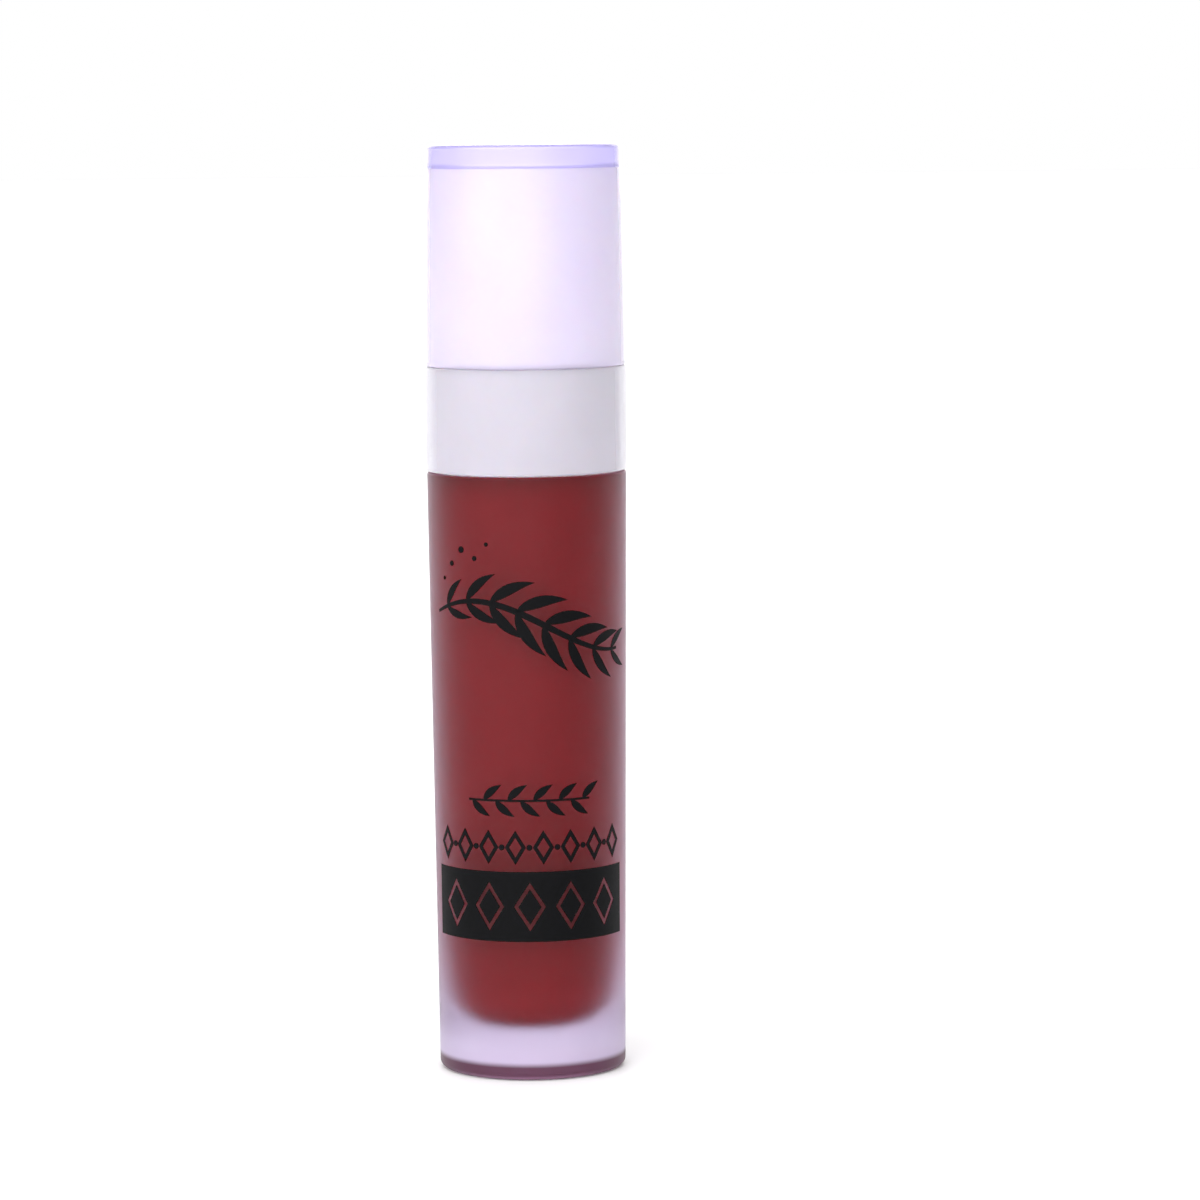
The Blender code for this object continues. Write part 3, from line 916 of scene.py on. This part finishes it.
def make_cap_liner():
    outer_gap = CAP_WALL - CONTACT
    entry_top = CAP_MOUTH + LINER_ENTRY_HEIGHT
    outline = rounded(
        [
            (0, LINER_TOP, 0),
            (CAP_TOP_R - outer_gap, LINER_TOP, 0.15),
            (CAP_MOUTH_R - outer_gap, LINER_MOUTH, 0.2),
            (LINER_ENTRY_R, LINER_MOUTH, 0.15),
            (LINER_ENTRY_R, entry_top, 0.1),
            (LINER_BORE_R, entry_top + 0.3, 0.1),
            (LINER_BORE_R, LINER_CEILING, 0.3),
            (SOCKET_R + SOCKET_WALL, LINER_CEILING, 0.2),
            (SOCKET_R + SOCKET_WALL, SOCKET_FOOT, 0.3),
            (SOCKET_R, SOCKET_FOOT, 0.2),
            (SOCKET_R, SOCKET_TOP, 0.1),
            (0, SOCKET_TOP, 0),
        ]
    )
    foot = THREAD_FOOT + THREAD_LEAD / THREAD_STARTS / 2
    thread_low, thread_high = thread_reach(foot)
    outline = rows_between(outline, thread_low, thread_high)

    def ridge(r, z, angle):
        if abs(r - LINER_BORE_R) > EDGE or not thread_low < z < thread_high:
            return 0
        return (LINER_CREST_R - LINER_BORE_R) * thread_height(z, angle, foot)

    made = lathe("cap_inner", outline, [liner_plastic()], ridge=ridge)
    return place(made, "applicator", "cap_liner", "cap_liner")


# --- The applicator -----------------------------------------------------------------------------


def make_wand():
    """The stem, with two retaining beads in its socket and a bore for the tip's spigot."""
    neck_low, neck_high = WAND_NECK_Z
    corners = [(0, WAND_TOP, 0), (WAND_R - WAND_BEAD, WAND_TOP, 0.1)]
    for down in WAND_BEADS_DOWN:
        bead_top = WAND_TOP - down
        corners += [
            (WAND_R, bead_top, 0),
            (WAND_R + WAND_BEAD, bead_top - WAND_BEAD_HEIGHT / 2, 0.05),
            (WAND_R, bead_top - WAND_BEAD_HEIGHT, 0),
        ]
    corners += [
        (WAND_R, neck_high, 1.0),
        (WAND_FOOT_R, neck_low, 1.0),
        (WAND_FOOT_R, WAND_FOOT, 0.25),
        (WAND_BORE_R, WAND_FOOT, 0.1),
        (WAND_BORE_R, WAND_BORE_TOP, 0),
        (0, WAND_BORE_TOP, 0),
    ]
    made = lathe("wand_stem", rounded(corners), [wand_plastic()], segments=FINE_SEGMENTS)
    return place(made, "applicator", "wand", "wand")


FLOCK_SEED = 7
FIBRES_PER_MM2 = 60
FIBRE_LENGTH = (0.34, 0.52)
FIBRE_R = 0.035
FIBRE_SUNK = 0.3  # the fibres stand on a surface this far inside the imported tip
CLUMPS = ((1.6, 0.9), (6.0, 0.4))  # features to the millimetre, and how much they lean the fibres
JITTER = 0.35  # how much each fibre leans by itself
LEAST_RISE = 0.3  # a fibre whose direction rises less than this is set up again
LENGTH_CLUMPS = 2.5  # features to the millimetre in which the fibres are longer or shorter together
TIP_END_HEIGHT = 2.5  # of the tip's rounded end
TIP_NEAR_POINTS = 60  # whose middle is taken for the tip's middle line


def on_the_outside(face, points):
    """Whether a face of the hollow tip faces away from the tip's middle line."""
    foot = min(point.z for point in points)
    centre = face.calc_center_median()
    level = max(centre.z, foot + TIP_END_HEIGHT)
    near = sorted(points, key=lambda point: abs(point.z - level))[:TIP_NEAR_POINTS]
    middle = sum(near, Vector()) / len(near)
    return face.normal.dot(centre - middle) > 0


def spread_points(faces, per_area, draw):
    """Random points on triangles, each with the normal there."""
    for face in faces:
        expected = face.calc_area() * per_area
        count = int(expected) + (draw.random() < expected % 1)
        a, b, c = face.verts
        for _ in range(count):
            first, second = draw.random(), draw.random()
            if first + second > 1:
                first, second = 1 - first, 1 - second
            rest = 1 - first - second
            normal = (a.normal * rest + b.normal * first + c.normal * second).normalized()
            yield a.co * rest + b.co * first + c.co * second, normal


def add_fibre(bm, root, direction, length, radius):
    """A thin three-sided spike."""
    across = direction.orthogonal().normalized()
    ring = []
    for side in range(3):
        around = Matrix.Rotation(math.tau * side / 3, 3, direction)
        ring.append(bm.verts.new(root + around @ across * radius))
    tip = bm.verts.new(root + direction * length)
    for side in range(3):
        bm.faces.new((ring[side], ring[(side + 1) % 3], tip))
    bm.faces.new(ring[::-1])


def make_flock():
    """A felted coat, and on it thousands of short fibres that lean together in clumps."""
    draw = random.Random(FLOCK_SEED)
    noise.seed_set(FLOCK_SEED)  # noise_vector is otherwise seeded by the clock
    coat = packed_tip()
    bmesh.ops.triangulate(coat, faces=coat.faces)
    coat.normal_update()
    points = [v.co.copy() for v in coat.verts]
    outside = [face for face in coat.faces if on_the_outside(face, points)]
    sunk = {v: v.co - v.normal * FIBRE_SUNK for face in outside for v in face.verts}
    for v, place_at in sunk.items():
        v.co = place_at
    coat.normal_update()
    fibres = bmesh.new()
    for root, normal in spread_points(outside, FIBRES_PER_MM2, draw):
        clump = sum((noise.noise_vector(root * per_mm) * lean for per_mm, lean in CLUMPS), Vector())
        jitter = Vector([draw.uniform(-JITTER, JITTER) for _ in range(3)])
        direction = (normal + clump + jitter).normalized()
        if direction.dot(normal) < LEAST_RISE:
            direction = (direction + normal).normalized()
        length = draw.uniform(*FIBRE_LENGTH) * (0.75 + 0.5 * noise.noise(root * LENGTH_CLUMPS))
        add_fibre(fibres, root - direction * FIBRE_R, direction, length, FIBRE_R)
    surface = flock_fibre()
    place(object_of("flock_coat", coat, [surface]), "applicator", "flock", "tip_flock")
    place(object_of("flock_fibres", fibres, [surface]), "applicator", "flock")


# --- Stage, light and camera --------------------------------------------------------------------

SURROUND_LIGHT = 0.72  # from all round
SOFT_LIGHTS = (  # direction towards the light, cosines where it begins and is full, strength
    ((-0.40, -1.0, 0.30), 0.3, 1.0, 2.2),
    ((0.0, 0.1, 1.0), 0.3, 1.0, 0.2),
    ((0.0, 1.0, 0.2), 0.7, 1.0, 1.3),
)
FLOOR_GAP = 0.05  # the floor lies just below the base, so that the two faces don't coincide
FLOOR_HALF_WIDTH = 6000


def make_floor():
    bm = bmesh.new()
    drop = Matrix.Translation((0, 0, -FLOOR_GAP))
    bmesh.ops.create_grid(bm, x_segments=8, y_segments=8, size=FLOOR_HALF_WIDTH, matrix=drop)
    floor = object_of("floor", bm, [pale_floor()])
    floor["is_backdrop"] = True


def make_light():
    """A white studio: large soft lights without edges. The camera sees plain white behind the floor."""
    world = bpy.data.worlds.new("studio")
    world.use_nodes = True
    nodes, link = world.node_tree.nodes, world.node_tree.links.new
    direction = nodes.new("ShaderNodeTexCoord").outputs["Generated"]
    total = None
    for towards, begins, full, strength in SOFT_LIGHTS:
        facing = nodes.new("ShaderNodeVectorMath")
        facing.operation = "DOT_PRODUCT"
        facing.inputs[1].default_value = Vector(towards).normalized()
        link(direction, facing.inputs[0])
        lobe = nodes.new("ShaderNodeMapRange")
        lobe.interpolation_type = "SMOOTHSTEP"
        lobe.inputs["From Min"].default_value = begins
        lobe.inputs["From Max"].default_value = full
        lobe.inputs["To Max"].default_value = strength
        link(facing.outputs["Value"], lobe.inputs["Value"])
        add = nodes.new("ShaderNodeMath")
        add.inputs[1].default_value = SURROUND_LIGHT
        if total:
            link(total, add.inputs[1])
        link(lobe.outputs["Result"], add.inputs[0])
        total = add.outputs["Value"]
    seen = nodes.new("ShaderNodeMix")
    seen.inputs["B"].default_value = 1.0
    link(nodes.new("ShaderNodeLightPath").outputs["Is Camera Ray"], seen.inputs["Factor"])
    link(total, seen.inputs["A"])
    link(seen.outputs["Result"], nodes["Background"].inputs["Strength"])
    nodes["Background"].inputs["Color"].default_value = (1.0, 1.0, 1.0, 1.0)
    bpy.context.scene.world = world


def make_camera():
    """Level with the top of the cap, a little to the right of the tube, looking down at its middle."""
    eye, aim = Vector((7.1, -480.0, 95.0)), Vector((7.1, 0.0, 46.3))
    lens, roll = 146.6, math.radians(-0.55)
    data = bpy.data.cameras.new("camera")
    data.lens = lens
    data.sensor_width = 36.0
    data.clip_start, data.clip_end = 0.01, 20.0
    camera = bpy.data.objects.new("camera", data)
    turn = (aim - eye).to_track_quat("-Z", "Y").to_matrix() @ Matrix.Rotation(roll, 3, "Z")
    camera.matrix_world = Matrix.Translation(eye * MM) @ turn.to_4x4()
    bpy.context.scene.collection.objects.link(camera)
    bpy.context.scene.camera = camera


def write_sizes():
    """Works out the CAD box and the visual model's box, and keeps neither."""
    boxes = {"cad": cad_bounds, "visual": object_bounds()}
    {name: [list(corner) for corner in box] for name, box in boxes.items()}


def main():
    bpy.context.scene.view_settings.view_transform = "Standard"
    make_floor()
    make_light()
    make_camera()
    for make in (make_bottle, make_collar, make_gloss, make_wiper, make_print, make_washer):
        make()
    for make in (make_cap_shell, make_cap_liner, make_wand, make_flock):
        make()
    frame["nodes"]["tip_core"].data.materials[0] = tip_elastomer()
    write_sizes()


main()
